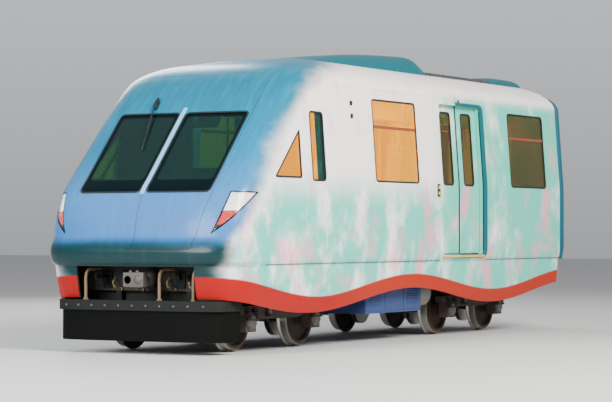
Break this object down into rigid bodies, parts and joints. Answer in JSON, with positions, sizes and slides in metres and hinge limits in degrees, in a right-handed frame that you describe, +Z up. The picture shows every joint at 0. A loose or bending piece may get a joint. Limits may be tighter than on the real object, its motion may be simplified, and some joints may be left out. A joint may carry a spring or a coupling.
{
  "type": "leading car of a light people-mover train",
  "caption": "Leading car of a light elevated-railway train: raked driving nose, sliding doors each side, wave-edged skirts, sprung bogies with rail wheelsets, coupler and half a gangway.",
  "frame": {"origin": "under the middle of the car's overall length, on the centre line, at the wheel flange tips", "axes": "+X forward to the driving nose, +Y to the car's left, +Z up"},
  "size_m": [10, 2.86, 4.05],
  "materials": {
    "nose_paint": "gloss",
    "body_paint": "gloss",
    "roof_paint": "satin",
    "skirt_paint": "gloss",
    "teal_paint": "satin",
    "gangway_rubber": "matte",
    "dark_glass": "polished",
    "side_glass": "polished",
    "lamp_cover": "polished",
    "frame_steel": "matte",
    "bare_steel": "matte",
    "wheel_steel": "worn",
    "case_paint": "satin",
    "tank_paint": "satin",
    "lining": "matte",
    "desk": "matte",
    "bench": "woven",
    "pole": "gloss"
  },
  "bodies": {
    "car": {"nose_shell": "nose_paint", "side_wall_left": "body_paint", "side_wall_right": "body_paint", "roof_shell": "roof_paint", "rear_end_wall": "body_paint", "gangway_hood": "gangway_rubber", "window_front_left": "side_glass", "window_front_right": "side_glass", "window_rear_left": "side_glass", "window_rear_right": "side_glass", "cab_window_left": "dark_glass", "cab_window_right": "dark_glass", "corner_window_left": "side_glass", "corner_window_right": "side_glass", "windscreen_left": "dark_glass", "windscreen_right": "dark_glass", "headlamp_left": "lamp_cover", "headlamp_right": "lamp_cover", "underframe": "frame_steel", "skirt_left": "skirt_paint", "skirt_right": "skirt_paint", "obstacle_deflector": "frame_steel", "cab_bulkhead": "lining", "driver_desk": "desk", "driver_seat": "bench", "bench_front_left": "bench", "bench_front_right": "bench", "bench_rear_left": "bench", "bench_rear_right": "bench", "grab_rails": "pole", "roof_fairing_front": "teal_paint", "roof_fairing_rear": "teal_paint", "equipment_cases": "case_paint", "air_tank": "tank_paint"},
    "coupler": {"coupler": "bare_steel"},
    "door_front_left": {"door_front_left": "body_paint", "door_glass_front_left": "side_glass"},
    "door_front_right": {"door_front_right": "body_paint", "door_glass_front_right": "side_glass"},
    "door_rear_left": {"door_rear_left": "body_paint", "door_glass_rear_left": "side_glass"},
    "door_rear_right": {"door_rear_right": "body_paint", "door_glass_rear_right": "side_glass"},
    "bogie_front": {"bogie_frame_front": "frame_steel"},
    "bogie_rear": {"bogie_frame_rear": "frame_steel"},
    "wheelset_front_leading": {"wheelset_front_leading": "wheel_steel"},
    "wheelset_front_trailing": {"wheelset_front_trailing": "wheel_steel"},
    "wheelset_rear_leading": {"wheelset_rear_leading": "wheel_steel"},
    "wheelset_rear_trailing": {"wheelset_rear_trailing": "wheel_steel"}
  },
  "joints": [
    {"name": "coupler_swing", "type": "hinge", "parent": "car", "child": "coupler", "pos_m": [4.57, 0, 0.905], "axis": [0, 0, 1], "range_deg": [-12, 12]},
    {"name": "door_front_left_slide", "type": "slide", "parent": "car", "child": "door_front_left", "axis": [1, 0, 0], "range_m": [0, 0.64]},
    {"name": "door_front_right_slide", "type": "slide", "parent": "car", "child": "door_front_right", "axis": [1, 0, 0], "range_m": [0, 0.64]},
    {"name": "door_rear_left_slide", "type": "slide", "parent": "car", "child": "door_rear_left", "axis": [-1, 0, 0], "range_m": [0, 0.64]},
    {"name": "door_rear_right_slide", "type": "slide", "parent": "car", "child": "door_rear_right", "axis": [-1, 0, 0], "range_m": [0, 0.64]},
    {"name": "bogie_front_yaw", "type": "hinge", "parent": "car", "child": "bogie_front", "pos_m": [3.1, 0, 0.7], "axis": [0, 0, 1], "range_deg": [-4, 4]},
    {"name": "bogie_rear_yaw", "type": "hinge", "parent": "car", "child": "bogie_rear", "pos_m": [-2.5, 0, 0.7], "axis": [0, 0, 1], "range_deg": [-4, 4]},
    {"name": "wheelset_front_leading_spin", "type": "hinge", "parent": "bogie_front", "child": "wheelset_front_leading", "pos_m": [3.9, 0, 0.378], "axis": [0, 1, 0], "continuous": true},
    {"name": "wheelset_front_trailing_spin", "type": "hinge", "parent": "bogie_front", "child": "wheelset_front_trailing", "pos_m": [2.3, 0, 0.378], "axis": [0, 1, 0], "continuous": true},
    {"name": "wheelset_rear_leading_spin", "type": "hinge", "parent": "bogie_rear", "child": "wheelset_rear_leading", "pos_m": [-1.7, 0, 0.378], "axis": [0, 1, 0], "continuous": true},
    {"name": "wheelset_rear_trailing_spin", "type": "hinge", "parent": "bogie_rear", "child": "wheelset_rear_trailing", "pos_m": [-3.3, 0, 0.378], "axis": [0, 1, 0], "continuous": true}
  ]
}
